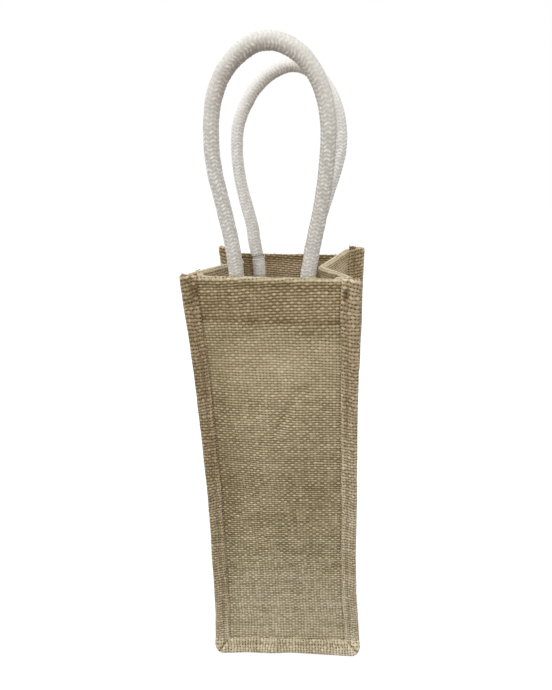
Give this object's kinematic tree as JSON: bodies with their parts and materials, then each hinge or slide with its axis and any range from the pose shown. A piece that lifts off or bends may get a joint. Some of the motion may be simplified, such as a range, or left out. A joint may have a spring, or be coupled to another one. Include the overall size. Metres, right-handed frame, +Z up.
{
  "type": "bottle carrier",
  "caption": "Tall narrow jute bag with bound seams and two rope handles that carries one upright bottle.",
  "frame": {"origin": "middle of the base, on the surface that the bag stands on", "axes": "+Z up, the front panel faces -Y, +X is the right side seen from the front"},
  "size_m": [0.123, 0.1202, 0.499],
  "materials": {
    "panel_cloth": "coarse natural plain weave",
    "side_cloth": "coarse natural plain weave",
    "binding_cloth": "coarse natural plain weave, folded over the seams",
    "jute_thread": "natural sewing thread",
    "cotton_braid": "off-white braided cotton",
    "rope_filler": "loose off-white cotton",
    "cotton_thread": "off-white sewing thread"
  },
  "bodies": {
    "bag": {"front_panel": "panel_cloth", "back_panel": "panel_cloth", "left_gusset": "side_cloth", "right_gusset": "side_cloth", "base_panel": "side_cloth", "front_binding": "binding_cloth", "back_binding": "binding_cloth", "front_binding_stitching": "jute_thread", "back_binding_stitching": "jute_thread", "front_hem_stitching": "jute_thread", "back_hem_stitching": "jute_thread", "left_hem_stitching": "jute_thread", "right_hem_stitching": "jute_thread", "front_left_rope_end": "cotton_braid", "front_right_rope_end": "cotton_braid", "back_left_rope_end": "cotton_braid", "back_right_rope_end": "cotton_braid", "front_left_end_core": "rope_filler", "front_right_end_core": "rope_filler", "back_left_end_core": "rope_filler", "back_right_end_core": "rope_filler", "front_left_tack": "cotton_thread", "front_right_tack": "cotton_thread", "back_left_tack": "cotton_thread", "back_right_tack": "cotton_thread"},
    "front_handle": {"front_handle_braid": "cotton_braid", "front_handle_core": "rope_filler"},
    "back_handle": {"back_handle_braid": "cotton_braid", "back_handle_core": "rope_filler"}
  },
  "joints": [
    {"name": "front_handle_swing", "type": "hinge", "parent": "bag", "child": "front_handle", "pos_m": [0, -0.05, 0.3488], "axis": [1, 0, 0], "range_deg": [-15, 172]},
    {"name": "back_handle_swing", "type": "hinge", "parent": "bag", "child": "back_handle", "pos_m": [0, 0.05, 0.3488], "axis": [-1, 0, 0], "range_deg": [-15, 172]}
  ]
}
